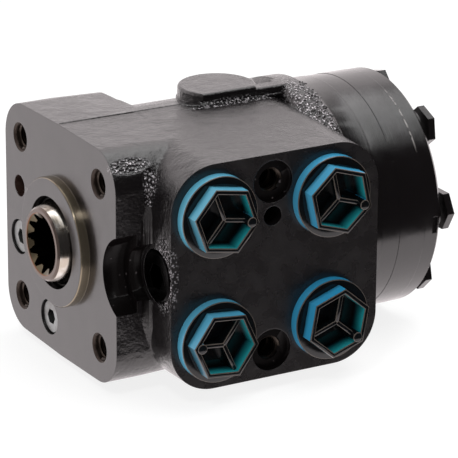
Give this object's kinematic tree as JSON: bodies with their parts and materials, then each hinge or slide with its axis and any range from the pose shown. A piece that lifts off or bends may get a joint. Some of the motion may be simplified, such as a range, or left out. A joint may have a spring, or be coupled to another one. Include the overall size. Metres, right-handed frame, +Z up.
{
  "type": "orbital steering unit",
  "caption": "Hydraulic orbital steering unit: ported cast housing with splined rotary spool, sleeve, gerotor metering set and end cover, ports closed by plugs.",
  "frame": {"origin": "shaft axis at the machined face of the column flange", "axes": "+X along the shaft from the flange to the end cover, port face looks along -Y, +Z up"},
  "size_m": [0.1414, 0.1123, 0.0906],
  "materials": {
    "cast_black": "semi-gloss black paint on cast iron",
    "steel_black": "semi-gloss black paint over turned steel",
    "machined_steel": "ground and oiled steel",
    "plug_steel": "zinc plated steel",
    "spring_steel": "blued spring steel",
    "seal_rubber": "nitrile rubber",
    "plug_plastic": "clear tinted moulded polyethylene"
  },
  "bodies": {
    "housing": {"bearing_race_fixed": "machined_steel", "cap_screws": "steel_black", "check_bushing": "machined_steel", "distributor_plate": "steel_black", "dust_seal": "seal_rubber", "end_cover": "steel_black", "face_seal_front": "seal_rubber", "face_seal_housing": "seal_rubber", "face_seal_rear": "seal_rubber", "gear_ring": "steel_black", "housing": "cast_black", "pin_screw": "steel_black", "port_plug_left": "plug_plastic", "port_plug_pressure": "plug_plastic", "port_plug_right": "plug_plastic", "port_plug_tank": "plug_plastic", "relief_plug": "steel_black", "relief_seat": "machined_steel", "relief_spring": "spring_steel", "relief_washer": "plug_steel", "screw_washers": "steel_black", "shaft_seal": "seal_rubber", "shock_plug_left": "plug_steel", "shock_plug_right": "plug_steel", "shock_spring_left": "spring_steel", "shock_spring_right": "spring_steel", "suction_pins": "machined_steel"},
    "sleeve_set": {"sleeve": "machined_steel", "cross_pin": "machined_steel", "centring_springs": "spring_steel", "spring_ring": "machined_steel", "bearing_race_turning": "machined_steel"},
    "spool": {"spool": "machined_steel"},
    "orbit": {"drive_spacer": "machined_steel"},
    "star": {"star_gear": "machined_steel"},
    "cardan": {"cardan_shaft": "machined_steel"},
    "needle_cage": {"needle_cage": "machined_steel"},
    "check_ball": {"check_ball": "machined_steel"},
    "suction_ball_left": {"suction_ball_left": "machined_steel"},
    "suction_ball_right": {"suction_ball_right": "machined_steel"},
    "relief_poppet": {"relief_poppet": "machined_steel"},
    "shock_ball_left": {"shock_ball_left": "machined_steel"},
    "shock_ball_right": {"shock_ball_right": "machined_steel"}
  },
  "joints": [
    {"name": "sleeve_turn", "type": "hinge", "parent": "housing", "child": "sleeve_set", "pos_m": [0.06, 0, 0], "axis": [1, 0, 0], "continuous": true},
    {"name": "spool_deflection", "type": "hinge", "parent": "sleeve_set", "child": "spool", "pos_m": [0.026, 0, 0], "axis": [1, 0, 0], "range_deg": [-10, 10], "stiffness_Nm_per_rad": 6, "deforming": ["centring_springs"]},
    {"name": "star_orbit", "type": "hinge", "parent": "housing", "child": "orbit", "pos_m": [0.1165, 0, 0], "axis": [1, 0, 0], "continuous": true},
    {"name": "star_spin", "type": "hinge", "parent": "orbit", "child": "star", "pos_m": [0.1165, -0.0033, 0], "axis": [1, 0, 0], "continuous": true},
    {"name": "cardan_spin", "type": "hinge", "parent": "orbit", "child": "cardan", "pos_m": [0.038, 0, 0], "axis": [0.9991, -0.042, 0], "continuous": true},
    {"name": "needle_cage_turn", "type": "hinge", "parent": "housing", "child": "needle_cage", "pos_m": [0.0144, 0, 0], "axis": [1, 0, 0], "continuous": true},
    {"name": "check_ball_lift", "type": "slide", "parent": "housing", "child": "check_ball", "axis": [0, 1, 0], "range_m": [0, 0.0025]},
    {"name": "suction_ball_left_lift", "type": "slide", "parent": "housing", "child": "suction_ball_left", "axis": [1, 0, 0], "range_m": [0, 0.002]},
    {"name": "suction_ball_right_lift", "type": "slide", "parent": "housing", "child": "suction_ball_right", "axis": [1, 0, 0], "range_m": [0, 0.002]},
    {"name": "relief_poppet_lift", "type": "slide", "parent": "housing", "child": "relief_poppet", "axis": [-1, 0, 0], "range_m": [0, 0.0025], "stiffness_N_per_m": 600, "springref_m": -0.002, "deforming": ["relief_spring"]},
    {"name": "shock_ball_left_lift", "type": "slide", "parent": "housing", "child": "shock_ball_left", "axis": [-1, 0, 0], "range_m": [0, 0.002], "stiffness_N_per_m": 500, "springref_m": -0.002, "deforming": ["shock_spring_left"]},
    {"name": "shock_ball_right_lift", "type": "slide", "parent": "housing", "child": "shock_ball_right", "axis": [-1, 0, 0], "range_m": [0, 0.002], "stiffness_N_per_m": 500, "springref_m": -0.002, "deforming": ["shock_spring_right"]}
  ],
  "couplings": [
    {"joint": "star_orbit", "follows": "sleeve_turn", "ratio": -6},
    {"joint": "star_spin", "follows": "sleeve_turn", "ratio": 7},
    {"joint": "cardan_spin", "follows": "sleeve_turn", "ratio": 7},
    {"joint": "needle_cage_turn", "follows": "sleeve_turn", "ratio": 0.5}
  ]
}
